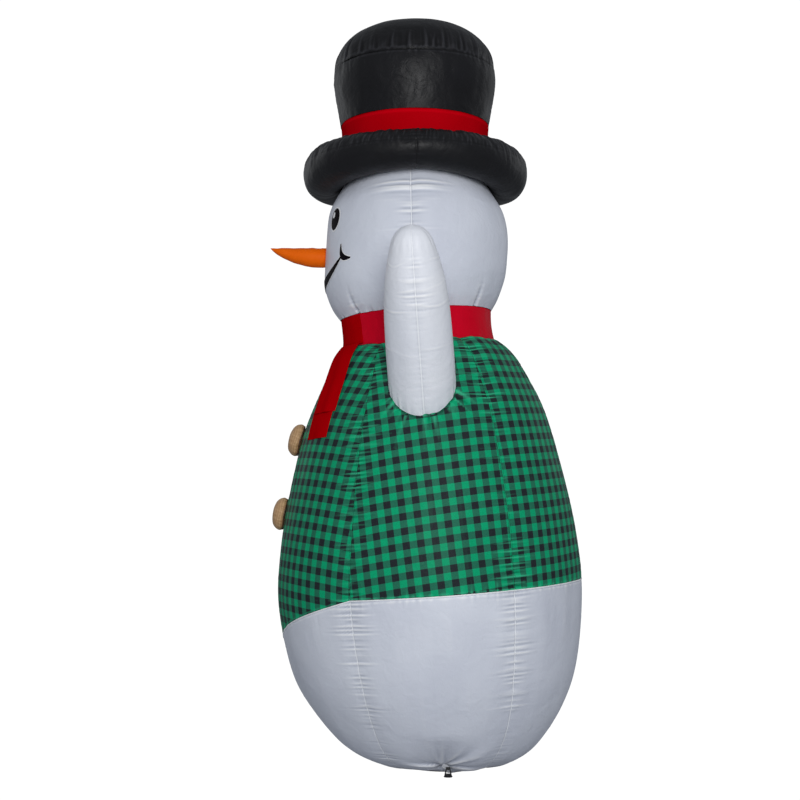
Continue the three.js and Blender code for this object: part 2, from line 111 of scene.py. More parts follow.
WEB_FOOT = 0.3268  # how far out each tie-down's web ends, beside its anchor on the inner side


def spline(points, count=2401):
    """A uniform Catmull-Rom curve through the points, in metres."""
    p = np.array(points, float) / 1000
    ends = np.vstack([p[:1], p, p[-1:]])
    t = np.linspace(0, len(p) - 1, count)
    i = np.minimum(t.astype(int), len(p) - 2)
    f = (t - i)[:, None]
    a, b, c, d = ends[i], ends[i + 1], ends[i + 2], ends[i + 3]
    return 0.5 * (2 * b + (c - a) * f + (2 * a - 5 * b + 4 * c - d) * f**2 + (3 * b - a - 3 * c + d) * f**3)


def smooth(x, low, high):
    t = np.clip((x - low) / (high - low), 0, 1)
    return t * t * (3 - 2 * t)


def wrap(angle):
    """The angle from -pi to pi."""
    return (angle + math.pi) % FULL - math.pi


axis_line = spline(AXIS)


def axis_shift(z):
    return np.interp(z, axis_line[:, 1], axis_line[:, 0])


def settle(radius, azimuth, z):
    """The body's rings dip a little in front, and the brim's underside rises a little at the sides."""
    x, y = radius * np.sin(azimuth), -radius * np.cos(azimuth)
    tilt = RING_DIP * smooth(z, 0, 0.6) * (1 - smooth(z, 2.18, 2.8))
    hang = BRIM_HANG * smooth(z, 2.58, 2.8) * (1 - smooth(z, 2.8, 2.985))
    lift = y * tilt - hang * np.cos(2 * azimuth)
    return np.stack(np.broadcast_arrays(x, y + axis_shift(z), z + lift), -1)


class Skin:
    """The surface that an outline sweeps round the axis. Points on it are an azimuth from the front, a
    length s up the outline, and how far out of the cloth they stand."""

    def __init__(self, line):
        self.r, self.z = line.T
        step = np.hypot(np.diff(self.r), np.diff(self.z))
        self.s = np.concatenate([[0], np.cumsum(step)])
        self.dr = np.gradient(self.r, self.s)
        self.dz = np.gradient(self.z, self.s)
        self.length = self.s[-1]

    def radius(self, s):
        return np.interp(s, self.s, self.r)

    def at_height(self, z):
        return np.interp(z, self.z, self.s)

    def at(self, azimuth, s, out=0):
        r, z = np.interp(s, self.s, self.r), np.interp(s, self.s, self.z)
        dr, dz = np.interp(s, self.s, self.dr), np.interp(s, self.s, self.dz)
        return settle(r - pinch(azimuth, z) + dz * out, azimuth, z - dr * out)


def pinch(azimuth, z):
    """How far each tie-down pulls the cloth in at the foot of its side seam."""
    away = np.abs(np.abs(wrap(azimuth)) - math.pi / 2)
    near = np.exp(-((away / PINCH_WIDTH) ** 2))
    return PINCH_DEPTH * near * smooth(z, 0, 0.042) * (1 - smooth(z, 0.06, 0.23))


body, neck, head = Skin(spline(BODY)), Skin(spline(NECK)), Skin(spline(HEAD))
hat_band, crown, crown_top = Skin(spline(HAT_BAND)), Skin(spline(CROWN)), Skin(spline(CROWN_TOP))


def arc_skin(radius, height, half_width, half_depth, start, end):
    angle = np.radians(np.linspace(start, end, 1201))
    return Skin(np.stack([radius + half_width * np.cos(angle), height + half_depth * np.sin(angle)], -1))


brim = arc_skin(0.452, 2.8955, 0.104, 0.1045, -160, 150)

# ---- Noise and folds ------------------------------------------------------------------------------
LATTICE = np.random.default_rng(11).uniform(-1, 1, 1 << 14)


def noise(x, seed=0, y=0.0):
    """Smooth noise from -1 to 1, over x, or over x and y."""
    x, y = np.broadcast_arrays(np.asarray(x, float), y)
    i, j = np.floor(x).astype(int), np.floor(y).astype(int)
    f, g = x - i, y - j
    f, g = f * f * (3 - 2 * f), g * g * (3 - 2 * g)

    def corner(a, b):
        return LATTICE[(a * 1871 + b * 6173 + seed * 3571 + (a * b) % 977) % len(LATTICE)]

    low = corner(i, j) * (1 - f) + corner(i + 1, j) * f
    high = corner(i, j + 1) * (1 - f) + corner(i + 1, j + 1) * f
    return low * (1 - g) + high * g


def puckers(distance, along, seed, size=0.004, spread=0.05, wave=0.024):
    """Short ridges square to a seam, a wave apart, each with its own length."""
    reach = spread * (1 + 0.5 * noise(along / (1.3 * wave), seed + 1))
    ridges = 0.7 * noise(2 * along / wave, seed) + 0.4 * noise(along / wave, seed + 2)
    strength = 0.6 + 0.5 * noise(along / 0.2, seed + 3)
    return size * strength * ridges * np.exp(-((np.abs(distance) / reach) ** 1.6))


def valley(distance, depth, width):
    return -depth * np.exp(-((distance / width) ** 2))


def hem_height(azimuth):
    t = np.maximum(0, 1 - np.abs(wrap(azimuth)) / GORE)
    return HEM - HEM_DIP * t * (0.8 + 0.2 * t * t)


# ---- Arms' place, which the vest's folds follow ------------------------------------------------------
ARM_PIVOT = np.array([0.458, -0.112, 1.717])
ARM_AIM = np.array([math.cos(math.radians(64)), -0.074, math.sin(math.radians(64))])
ARM_AIM /= np.linalg.norm(ARM_AIM)
ARM_SIDE = np.cross([0.0, 1.0, 0.0], ARM_AIM)
ARM_SIDE /= np.linalg.norm(ARM_SIDE)
ARM_LIFT = np.cross(ARM_AIM, ARM_SIDE)
ARM_OUTLINE = [
    (152, 0), (154, 200), (150, 420), (140, 560), (122, 665), (88, 780), (50, 828), (0, 845),
]


def round_arm(points):
    """How far points lie from the near arm's sleeve, and round it."""
    p = points - ARM_PIVOT
    a, b = p @ ARM_SIDE, p @ ARM_LIFT
    return np.hypot(a, b) - 0.153, np.arctan2(b, a)


# ---- Blower and zip, which the back's cloth lies flat round -----------------------------------------
def flat_patch(skin, degrees, height, out):
    """Centre and the right, up and outward directions of a flat piece set in the cloth."""
    azimuth, s = math.radians(degrees), skin.at_height(height)
    ends = skin.at(azimuth, s + np.array([-0.001, 0.001]))
    sides = skin.at(azimuth + np.array([-0.001, 0.001]), s)
    up, across = ends[1] - ends[0], sides[1] - sides[0]
    up /= np.linalg.norm(up)
    outward = np.cross(across, up)
    outward /= np.linalg.norm(outward)
    return skin.at(azimuth, s) + out * outward, np.cross(up, outward), up, outward


BLOWER = flat_patch(body, 210, 0.285, 0)
ZIP = flat_patch(body, 240, 0.700, -0.003)


def lay_flat(points, patch, level, half_width, half_height, fade):
    """Draws cloth onto a flat piece's plane, level metres above it, and lets go over fade metres."""
    centre, right, up, outward = patch
    p = points - centre
    if half_width == half_height:
        distance = np.hypot(p @ right, p @ up) - half_width
    else:
        away = np.stack([np.abs(p @ right) - half_width, np.abs(p @ up) - half_height], -1)
        distance = np.linalg.norm(np.maximum(away, 0), axis=-1)
    hold = (1 - smooth(distance, 0, fade)) * (p @ outward > -0.3)
    return points + (hold * (level - p @ outward))[..., None] * outward


def body_relief(azimuth, s):
    """Folds of the body's cloth: sewn seams, gathers at the neck and the floor, and soft waves."""
    r = body.radius(s)
    hem = s - body.at_height(hem_height(azimuth))
    vest = smooth(s, 0.95, 1.6)
    out = 0.004 * noise(azimuth * 3.1, 5, s / 0.55) + 0.0022 * noise(azimuth * 9.0, 6, s / 0.3)
    for k in range(GORES):
        d = r * wrap(azimuth - k * GORE)
        out = out + valley(d, 0.006, 0.05) + valley(d, 0.0015, 0.004)
        size = 0.0038 + 0.0006 * vest + 0.0020 * np.exp(-np.abs(hem) / 0.1) - 0.0012 * (hem > 0)
        out = out + puckers(d, s, 20 + 5 * k, size, 0.065, 0.019) * smooth(s, 0.02, 0.2)
        out = out + puckers(d, s, 22 + 5 * k, 0.0036 * vest, 0.05, 0.05)
    out = out + valley(hem, 0.002, 0.006) + puckers(hem, azimuth * 0.7, 60, 0.0016, 0.035, 0.03)
    top = body.length - s
    out = out + puckers(top, azimuth * 0.42, 70, 0.004, 0.06, 0.05) + valley(top, 0.004, 0.01)
    out = out + puckers(s, azimuth * 0.3, 80, 0.006, 0.09, 0.05)
    # Creases that fan out from each tie-down, round one sharp ridge.
    side = r * (np.abs(wrap(azimuth)) - math.pi / 2)
    rise = s - body.at_height(0.05)
    reach, fan = np.hypot(side, rise), np.arctan2(side, rise)
    out = out + 0.016 * noise(fan * 4.2, 90) * np.exp(-reach / 0.12) * smooth(reach, 0, 0.05)
    return out + 0.012 * np.exp(-((fan / 0.12) ** 2)) * np.exp(-reach / 0.15) * smooth(s, 0.05, 0.1)


def body_place(azimuth, s):
    """The side seams spread towards the front and the back near the floor."""
    return azimuth - 0.105 * (1 - smooth(s, 0.05, 0.75)) * np.sin(2 * azimuth)


def body_surface(azimuth, s, out=0.0):
    relief = body_relief(azimuth, s)
    place = body_place(azimuth, s)
    p = body.at(place, s, relief + out)
    side = np.where(wrap(azimuth) >= 0, 1.0, -1.0)[..., None]
    mirrored = p * np.concatenate([side, np.ones_like(side), np.ones_like(side)], -1)
    away, turn = round_arm(mirrored)
    near = puckers(np.maximum(away, 0), turn * 0.17, 100, 0.012, 0.07, 0.045)
    near = near - 0.006 * np.exp(-np.abs(away) / 0.02)
    p = body.at(place, s, relief + out + near * (mirrored[..., 2] > 1.5))
    p = lay_flat(p, BLOWER, 0.0058 + out, BLOWER_RADIUS, BLOWER_RADIUS, 0.10)
    return lay_flat(p, ZIP, -0.0012 + out, 0.024, 0.119, 0.06)


HEAD_SEAM = math.radians(86)  # the seam down each side of the head


def head_relief(azimuth, s):
    r = head.radius(s)
    out = 0.002 * noise(azimuth * 4.2, 7, s / 0.25)
    for k, centre in enumerate((HEAD_SEAM, -HEAD_SEAM)):
        d = r * wrap(azimuth - centre)
        high = 0.3 + 0.7 * smooth(s, 0.25, 0.42)
        out = out + valley(d, 0.004, 0.025) + valley(d, 0.003, 0.005)
        out = out + puckers(d, s, 120 + 5 * k, 0.0095, 0.085, 0.024) * high
    # Darts that draw the cloth in to the neck.
    for k, centre in enumerate((42, -42, 138, -138)):
        d = r * wrap(azimuth - math.radians(centre))
        dart = 1 - smooth(s, 0.02, 0.17)
        out = out + dart * (valley(d, 0.008, 0.012) + puckers(d, s, 140 + 5 * k, 0.004, 0.035, 0.02))
    out = out + puckers(s, azimuth * 0.4, 160, 0.004, 0.03, 0.03)
    return out + puckers(head.length - s, azimuth * 0.4, 165, 0.004, 0.03, 0.03)


def brim_relief(azimuth, s):
    edge = s - brim_edge
    out = 0.0022 * noise(azimuth * 6, 8, s / 0.1)
    out = out + valley(edge, 0.001, 0.006) + puckers(edge, azimuth * 0.56, 170, 0.003, 0.035, 0.03)
    # Creases over the brim's upper part, where its ring is gathered in to the band.
    above = smooth(edge, -0.03, 0.03) * (1 - smooth(edge, 0.10, 0.17))
    out = out + above * 0.0034 * noise(azimuth * 26 + edge * 9, 172, edge / 0.11)
    out = out + above * 0.0026 * noise(azimuth * 60 - edge * 14, 174, edge / 0.06)
    for k, centre in enumerate((math.pi / 2, -math.pi / 2)):
        d = 0.454 * wrap(azimuth - centre)
        out = out + valley(d, 0.003, 0.006) + puckers(d, s, 180 + 5 * k, 0.0025, 0.03, 0.022)
    return out + puckers(brim.length - s, azimuth * 0.4, 190, 0.005, 0.03, 0.028)


brim_edge = np.interp(175, np.linspace(0, 310, 1201), brim.s)


def crown_relief(azimuth, s):
    out = 0.002 * noise(azimuth * 3, 9, s / 0.3) + 0.0012 * noise(azimuth * 11, 12, s / 0.1)
    for k, centre in enumerate((0, math.pi)):
        d = 0.39 * wrap(azimuth - centre)
        out = out + valley(d, 0.003, 0.006) + puckers(d, s, 200 + 5 * k, 0.003, 0.03, 0.022)
    out = out + puckers(s, azimuth * 0.37, 210, 0.002, 0.03, 0.028)
    top = crown.length - s
    return out + valley(top, 0.002, 0.005) + puckers(top, azimuth * 0.4, 215, 0.003, 0.03, 0.03)


def top_relief(azimuth, s):
    """Pleats that run in from the crown's seam, the longest about a third of the way to the middle."""
    pleats = puckers(s, azimuth * 0.4, 215, 0.003, 0.03, 0.03)
    reach = 0.10 * (1 + 0.5 * noise(azimuth * 9, 218))
    slits = np.exp(-((noise(azimuth * 4.6, 220) / 0.10) ** 2)) * (0.5 + 0.5 * noise(azimuth * 3, 223))
    deep = 0.006 * slits + 0.004 * noise(azimuth * 24, 221)
    pleats = pleats - deep * smooth(s, 0, 0.03) * np.exp(-((s / reach) ** 4))
    flat = 1 - smooth(s, crown_top.length - 0.12, crown_top.length)
    return valley(s, 0.002, 0.005) + (pleats + 0.002 * noise(azimuth * 3, 9, s / 0.3)) * flat


# ---- Materials --------------------------------------------------------------------------------------
def srgb(r, g, b):
    """The linear colour of an sRGB colour out of 255."""
    c = np.array([r, g, b]) / 255
    return tuple(np.where(c <= 0.04045, c / 12.92, ((c + 0.055) / 1.055) ** 2.4)) + (1.0,)


class Material:
    """A Principled material and short calls for building its nodes."""

    def __init__(self, name, roughness=0.5, **sockets):
        self.made = bpy.data.materials.new(name)
        self.made.use_nodes = True
        self.tree = self.made.node_tree
        self.shader = self.tree.nodes["Principled BSDF"]
        self.shader.inputs["Roughness"].default_value = roughness
        for key, value in sockets.items():
            self.shader.inputs[key.replace("_", " ").title()].default_value = value

    def node(self, kind, inputs=(), **settings):
        node = self.tree.nodes.new("ShaderNode" + kind)
        for key, value in settings.items():
            setattr(node, key, value)
        for key, value in dict(inputs).items():
            self.plug(value, node.inputs[key])
        return node

    def plug(self, value, socket):
        if isinstance(value, bpy.types.NodeSocket):
            self.tree.links.new(value, socket)
        else:
            socket.default_value = value

    def math(self, operation, *values):
        node = self.node("Math", operation=operation)
        for socket, value in zip(node.inputs, values):
            self.plug(value, socket)
        return node.outputs[0]

    def mix(self, amount, first, second):
        node = self.node("Mix", data_type="RGBA")
        for socket, value in zip((node.inputs[0], node.inputs[6], node.inputs[7]), (amount, first, second)):
            self.plug(value, socket)
        return node.outputs[2]

    def noise(self, scale, detail=3.0, rough=0.5, vector=None, warp=0.0):
        inputs = {"Scale": scale, "Detail": detail, "Roughness": rough, "Distortion": warp}
        inputs["Vector"] = vector or self.node("TexCoord").outputs["Object"]
        return self.node("TexNoise", inputs).outputs["Fac"]

    def spread(self, value, low, high, start=0.0, end=1.0):
        inputs = {"Value": value, "From Min": low, "From Max": high, "To Min": start, "To Max": end}
        return self.node("MapRange", inputs).outputs[0]

    def uv(self, name):
        node = self.node("UVMap", uv_map=name)
        parts = self.node("SeparateXYZ", {"Vector": node.outputs[0]})
        return parts.outputs[0], parts.outputs[1]

    def colour(self, value):
        self.plug(value, self.shader.inputs["Base Color"])

    def rough(self, value):
        self.plug(value, self.shader.inputs["Roughness"])

    def bump(self, *layers):
        """Layers of (height, distance in metres), the finest last."""
        normal = None
        for height, distance in layers:
            inputs = {"Height": height, "Distance": distance, "Strength": 1.0}
            if normal:
                inputs["Normal"] = normal
            normal = self.node("Bump", inputs).outputs[0]
        self.plug(normal, self.shader.inputs["Normal"])


def stitches(m, step=0.0065):
    """Where the sewing thread shows, 5.5 mm to each side of a seam: from 0 to 1."""
    edge, along = m.uv("seam")
    near = m.math("LESS_THAN", m.math("ABSOLUTE", m.math("SUBTRACT", edge, 0.0055)), 0.0009)
    on = m.math("LESS_THAN", m.math("FRACT", m.math("DIVIDE", along, step)), 0.62)
    return m.math("MULTIPLY", near, on)


def cloth_finish(m, low=0.42, high=0.6, wrinkle=0.0022, sewn=True, shine=0.2):
    """Coated taffeta: fine weave, small crinkles and a patchy, slightly slick surface."""
    crinkle = m.noise(22.0, 4.0, 0.62, warp=0.9)
    waves = m.noise(6.5, 2.0, 0.5, warp=1.4)
    weave = m.noise(1400.0, 1.0)
    layers = [(waves, wrinkle * 2), (crinkle, wrinkle), (weave, 0.00008)]
    if sewn:
        layers.append((stitches(m), 0.0004))
    m.bump(*layers)
    m.rough(m.spread(m.noise(9.0, 3.0), 0.3, 0.7, low, high))
    m.shader.inputs["Specular IOR Level"].default_value = shine


def scaled(colour, amount):
    return tuple(amount * c for c in colour[:3]) + (1.0,)


def painted_fold_light(m, base, ridge, crease):
    """Painted highlights along the cloth's ridges and painted shade down in its creases."""
    fold, _ = m.uv("fold")
    base = m.mix(m.spread(fold, 0.54, 1.0, 0.0, 0.8), base, ridge)
    return m.mix(m.spread(fold, 0.46, 0.0, 0.0, 0.6), base, crease)


def plain_cloth(name, dark, light, thread=None, ridge=None, crease=None, sewn=True, **surface):
    m = Material(name)
    base = m.mix(m.spread(m.noise(3.0, 4.0), 0.3, 0.7), dark, light)
    base = m.mix(m.math("MULTIPLY", m.noise(900.0, 1.0), 0.10), base, scaled(light, 0.6))
    if sewn:
        # Painted highlights on the ridges and painted shade in the creases, by default 1.4 times the light
        # tone and 0.3 times the dark.
        base = painted_fold_light(m, base, ridge or scaled(light, 1.4), crease or scaled(dark, 0.3))
        edge, _ = m.uv("seam")
        fold = m.spread(edge, 0.0012, 0.0032, 1.0, 0.0)
        base = m.mix(m.math("MULTIPLY", fold, 0.8), base, thread or scaled(dark, 0.6))
        base = m.mix(m.math("MULTIPLY", stitches(m), 0.4), base, scaled(dark, 0.7))
    m.colour(base)
    cloth_finish(m, sewn=sewn, **surface)
    return m.made


CHECK = 0.065  # from one black square to the next


def check_cloth():
    """Two tones of green and a black square, printed on the cloth."""
    m = Material("check_cloth")
    u, v = m.uv("check")
    bands = []
    for across in (u, v):
        bands.append(m.math("LESS_THAN", m.math("FRACT", m.math("DIVIDE", across, CHECK)), 0.5))
    count = m.math("ADD", *bands)
    grain = m.spread(m.noise(260.0, 2.0), 0.3, 0.7)
    bright = m.mix(grain, srgb(10, 160, 108), srgb(20, 174, 122))
    middle = m.mix(grain, srgb(34, 108, 84), srgb(46, 120, 94))
    dark = m.mix(grain, srgb(34, 38, 42), srgb(46, 50, 54))
    base = m.mix(m.math("MINIMUM", count, 1.0), bright, middle)
    base = m.mix(m.math("MAXIMUM", m.math("SUBTRACT", count, 1.0), 0.0), base, dark)
    base = m.mix(m.spread(m.noise(2.4, 3.0), 0.35, 0.65, 0.0, 0.10), base, srgb(10, 60, 44))
    # Painted highlights on the print's ridges and painted shade in its creases.
    base = painted_fold_light(m, base, srgb(60, 196, 146), srgb(6, 40, 30))
    m.colour(m.mix(stitches(m), base, srgb(16, 70, 50)))
    cloth_finish(m, 0.36, 0.52, 0.0024, shine=0.04)
    return m.made


def wood_print():
    """A slice of wood printed on a padded disc: rings, radial cracks and a ring of bark."""
    m = Material("wood_print")
    u, v = m.uv("disc")
    radius = m.math("SQRT", m.math("ADD", m.math("MULTIPLY", u, u), m.math("MULTIPLY", v, v)))
    angle = m.math("ARCTAN2", v, u)
    round_it, outwards = m.math("MULTIPLY", angle, 7.0), m.math("MULTIPLY", radius, 18.0)
    polar = m.node("CombineXYZ", {"X": round_it, "Y": outwards})
    streak = m.noise(1.0, 4.0, 0.65, polar.outputs[0])
    wobble = m.math("MULTIPLY", m.noise(14.0, 2.0), 0.02)
    rings = m.math("SINE", m.math("MULTIPLY", m.math("ADD", radius, wobble), 520.0))
    base = m.mix(m.spread(streak, 0.35, 0.68), srgb(224, 186, 140), srgb(176, 134, 92))
    base = m.mix(m.spread(rings, -1, 1, 0.0, 0.35), base, srgb(140, 98, 62))
    bark = m.mix(m.spread(m.noise(70.0, 3.0), 0.3, 0.7), srgb(188, 144, 100), srgb(146, 104, 68))
    base = m.mix(m.spread(radius, 0.070, 0.074, 0.0, 0.6), base, bark)
    m.colour(m.mix(m.spread(radius, 0.0765, 0.0785), base, srgb(66, 40, 24)))
    m.bump((m.noise(26.0, 3.0), 0.002), (streak, 0.0006), (m.noise(1400.0, 1.0), 0.00008))
    m.rough(m.spread(m.noise(12.0), 0.3, 0.7, 0.5, 0.7))
    return m.made


def plastic(name, dark, light, low=0.35, high=0.55):
    m = Material(name)
    m.colour(m.mix(m.spread(m.noise(30.0, 3.0), 0.3, 0.7), dark, light))
    m.rough(m.spread(m.noise(60.0, 3.0), 0.3, 0.7, low, high))
    m.bump((m.noise(90.0, 2.0), 0.0002), (m.noise(1800.0, 1.0), 0.00006))
    return m.made


def metal(name, colour):
    m = Material(name, metallic=1.0)
    place = m.node("TexCoord").outputs["Object"]
    lengthways = m.node("Mapping", {"Vector": place, "Scale": (1.0, 1.0, 30.0)})
    brushed = m.noise(60.0, 3.0, 0.6, lengthways.outputs[0])
    m.colour(m.mix(brushed, colour, scaled(colour, 0.7)))
    m.rough(m.spread(brushed, 0.3, 0.7, 0.25, 0.45))
    m.bump((brushed, 0.00008))
    return m.made


def webbing():
    """A woven strap: ribs across it and fine threads along it."""
    m = Material("webbing")
    across, along = m.uv("strap")
    ribs = m.math("SINE", m.math("MULTIPLY", along, 2 * math.pi / 0.0028))
    warp = m.math("SINE", m.math("MULTIPLY", across, 2 * math.pi / 0.0022))
    worn = m.spread(m.noise(45.0, 3.0), 0.35, 0.7)
    m.colour(m.mix(worn, srgb(226, 228, 232), srgb(190, 193, 200)))
    m.bump((ribs, 0.00035), (warp, 0.00018))
    m.rough(m.spread(m.noise(80.0), 0.3, 0.7, 0.65, 0.85))
    return m.made


def lens():
    m = Material("lamp_lens", 0.25)
    m.colour(m.mix(m.noise(120.0), srgb(240, 240, 228), srgb(222, 222, 208)))
    m.bump((m.noise(300.0), 0.0002))
    return m.made


THREAD = srgb(250, 252, 255)
# In every sewn cloth here, ridge colours are painted highlights and crease colours are painted shade.
WHITE_CLOTH = plain_cloth(
    "white_cloth", srgb(214, 218, 230), srgb(226, 230, 240), THREAD,
    ridge=srgb(252, 253, 255), crease=srgb(176, 182, 196), shine=0.35)
# The white cloth painted lighter all over, a painted highlight for the brighter light on the arms. ridge is
# a painted highlight and crease a painted shade.
ARM_CLOTH_PAINTED_LIGHTER = plain_cloth(
    "arm_cloth_painted_lighter", srgb(230, 233, 242), srgb(241, 243, 249), THREAD,
    ridge=srgb(254, 254, 255), crease=srgb(192, 197, 209), shine=0.35)
RED_CLOTH = plain_cloth("red_cloth", srgb(210, 4, 34), srgb(224, 12, 44), wrinkle=0.0016, shine=0.03)
HAT_RED_CLOTH = plain_cloth(
    "hat_red_cloth", srgb(184, 0, 12), srgb(200, 2, 20), wrinkle=0.0012, shine=0.0)
DEEP_RED_CLOTH = plain_cloth(
    "deep_red_cloth", srgb(178, 0, 6), srgb(190, 0, 10), sewn=False, wrinkle=0.0012, shine=0.0)
# ridge is a painted highlight on the black cloth's folds, and its creases get painted shade.
BLACK_CLOTH = plain_cloth(
    "black_cloth", srgb(20, 20, 22), srgb(27, 27, 30), ridge=srgb(52, 52, 56), low=0.38, high=0.52,
    wrinkle=0.003, shine=0.2)
ORANGE_CLOTH = plain_cloth(
    "orange_cloth", srgb(246, 98, 0), srgb(252, 112, 8), sewn=False, wrinkle=0.0012, shine=0.1)
INK = plain_cloth("black_ink", srgb(8, 7, 12), srgb(14, 12, 18), sewn=False, wrinkle=0.001, shine=0.02)
WHITE_INK = plain_cloth(
    "white_ink", srgb(244, 246, 250), srgb(252, 252, 254), sewn=False, wrinkle=0.001)
CHECK_CLOTH = check_cloth()
WOOD_PRINT = wood_print()
BLACK_PLASTIC = plastic("black_plastic", srgb(20, 20, 21), srgb(34, 34, 36))
ZINC = metal("zinc", (0.55, 0.56, 0.58, 1))
WEBBING = webbing()
ZIP_TAPE = plastic("zip_tape", srgb(26, 26, 28), srgb(42, 42, 45), 0.6, 0.85)
LENS = lens()


# ---- Meshes -----------------------------------------------------------------------------------------
def grid(name, points, materials, uvs=(), closed=False, keep=None):
    """A mesh over a (rows, columns, 3) grid of points. closed joins the last column to the first."""
    rows, columns = points.shape[:2]
    index = np.arange(rows * columns).reshape(rows, columns)
    if closed:
        index = np.concatenate([index, index[:, :1]], 1)
    quads = np.stack([index[:-1, :-1], index[:-1, 1:], index[1:, 1:], index[1:, :-1]], -1).reshape(-1, 4)
    if keep is not None:
        quads = quads[keep[:-1, :-1].reshape(-1)]
    mesh = bpy.data.meshes.new(name)
    mesh.from_pydata(points.reshape(-1, 3).tolist(), [], quads.tolist())
    for material in materials:
        mesh.materials.append(material)
    for label, values in uvs:
        layer = mesh.uv_layers.new(name=label)
        layer.data.foreach_set("uv", values.reshape(-1, 2)[quads.reshape(-1)].astype(np.float32).reshape(-1))
    mesh.polygons.foreach_set("use_smooth", np.ones(len(mesh.polygons), bool))
    obj = bpy.data.objects.new(name, mesh)
    scene.collection.objects.link(obj)
    drop_loose(obj)
    return obj


def drop_loose(obj):
    """Removes points that no face uses."""
    b = bmesh.new()
    b.from_mesh(obj.data)
    bmesh.ops.delete(b, geom=[v for v in b.verts if not v.link_faces], context="VERTS")
    b.to_mesh(obj.data)
    b.free()


def apply_modifiers(obj):
    with bpy.context.temp_override(object=obj, active_object=obj):
        for modifier in list(obj.modifiers):
            bpy.ops.object.modifier_apply(modifier=modifier.name)


def join(name, objects):
    """One object from several."""
    with bpy.context.temp_override(active_object=objects[0], selected_editable_objects=objects):
        bpy.ops.object.join()
    objects[0].name = name
    return objects[0]


def finish_piece(obj, slot, rides, *nodes):
    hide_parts(*nodes)
    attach(obj, rides)
    return obj


def ease(count, power=0.75):
    """Steps from 0 to 1 that come closer together at both ends."""
    t = np.linspace(0, 1, count)
    return (1 - power) * t + power * (0.5 - 0.5 * np.cos(math.pi * t))


# The materials paint highlights on the ridges and shade in the creases from this value.
def fold_uv(relief, columns=1, rows=2, scale=0.0016):
    """How far each point stands above the cloth next to it: 0.5 where the cloth is even."""
    height, width = relief.shape
    r = np.pad(relief, ((rows, rows), (columns, columns)), "edge")
    sides = r[rows : rows + height, :width] + r[rows : rows + height, 2 * columns :]
    ends = r[:height, columns : columns + width] + r[2 * rows :, columns : columns + width]
    value = np.clip(0.5 + (relief - (sides + ends) / 4) / scale, 0, 1)
    return "fold", np.stack([value, np.zeros_like(value)], -1)


def seam_uv(distance, along):
    return "seam", np.stack(np.broadcast_arrays(distance, along), -1)


# ---- Body -------------------------------------------------------------------------------------------
# For each vest gore: where across it the cloth's grain lies, how much the check's rows droop away
# from there, and the degrees by which the whole print is turned.
PRINTS = [
    (0.15, 0.233, 0), (0.5, 0.1, 5.5), (0.0, 0.0, 1.5), (1.0, 0.0, -1.5), (0.5, 0.1, -5.5), (0.85, 0.233, 0),
]


def check_uv(i, azimuth, s):
    """The gore's cloth laid flat, with its print turned a little."""
    grain, droop, turned = PRINTS[i]
    delta = azimuth - (i + grain) * GORE
    u = body.radius(s) * delta
    v = s + 0.5 * body.radius(s) * droop * delta**2
    a = math.radians(turned)
    return "check", np.stack([u * math.cos(a) + v * math.sin(a), v * math.cos(a) - u * math.sin(a)], -1)


def gore(i, part):
    across = ease(72)[None, :]
    azimuth = (i + across) * GORE
    hem = body.at_height(hem_height(azimuth))
    if part == "lower":
        up, low, high = np.linspace(0, 1, 250)[:, None], 0.002, hem
    else:
        up, low, high = np.linspace(0, 1, 340)[:, None], hem, body.length - 0.001
    s = low + (high - low) * up
    azimuth = np.broadcast_to(azimuth, s.shape)
    points = body_surface(azimuth, s)
    even, outside = (body.at(body_place(azimuth, s), s, out) for out in (0, 0.01))
    relief = ((points - even) * (outside - even)).sum(-1) / 0.01
    centre, right, up_way, outward = BLOWER
    p = points - centre
    keep = (np.hypot(p @ right, p @ up_way) > BLOWER_HOLE) | (p @ outward < -0.2)
    edge = np.minimum(across, 1 - across) * GORE * body.radius(s)
    uvs = [seam_uv(edge, s), fold_uv(relief)]
    if part == "vest":
        uvs.append(check_uv(i, azimuth, s))
    material = CHECK_CLOTH if part == "vest" else WHITE_CLOTH
    obj = grid(f"{part}_skin_{i + 1}", points, [material], uvs, keep=keep)
    slot = "plaid_cloth" if part == "vest" else "white_cloth"
    return finish_piece(obj, slot, "envelope", f"{part}_gore_{i + 1}")


for i in range(GORES):
    gore(i, "lower")
    gore(i, "vest")


def hem_piping():
    """The thin white edge where the vest meets the white cloth."""
    azimuth = np.linspace(0, FULL, 720, endpoint=False)
    turn = np.linspace(0, FULL, 8, endpoint=False)[:, None]
    s = body.at_height(hem_height(azimuth))
    ring = body_surface(azimuth, s + 0.0034 * np.sin(turn), 0.0032 * np.cos(turn) + 0.0012)
    obj = grid("hem_piping", np.transpose(ring, (1, 0, 2)), [WHITE_INK], closed=True)
    ends = grid("hem_piping_end", ring[:, [-1, 0]].transpose(1, 0, 2), [WHITE_INK], closed=True)
    obj = join("hem_piping", [obj, ends])
    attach(obj, "envelope")


hem_piping()


def floor_disc():
    azimuth = np.linspace(0, FULL, 121)[None, :-1]
    r = np.linspace(0.004, FLOOR_RADIUS, 40)[:, None]
    x, y = r * np.sin(azimuth), -r * np.cos(azimuth)
    z = 0.0012 + 0.0016 * (0.5 + 0.5 * noise(x * 30, 230, y * 30)) * (1 - smooth(r, 0.19, 0.22)) + 0 * x
    uvs = [seam_uv(FLOOR_RADIUS - r + 0 * x, azimuth * r), fold_uv(z)]
    obj = grid("floor_cloth", np.stack([x, y, z], -1), [WHITE_CLOTH], uvs, closed=True)
    finish_piece(obj, "white_cloth", "envelope", "floor_panel")


floor_disc()


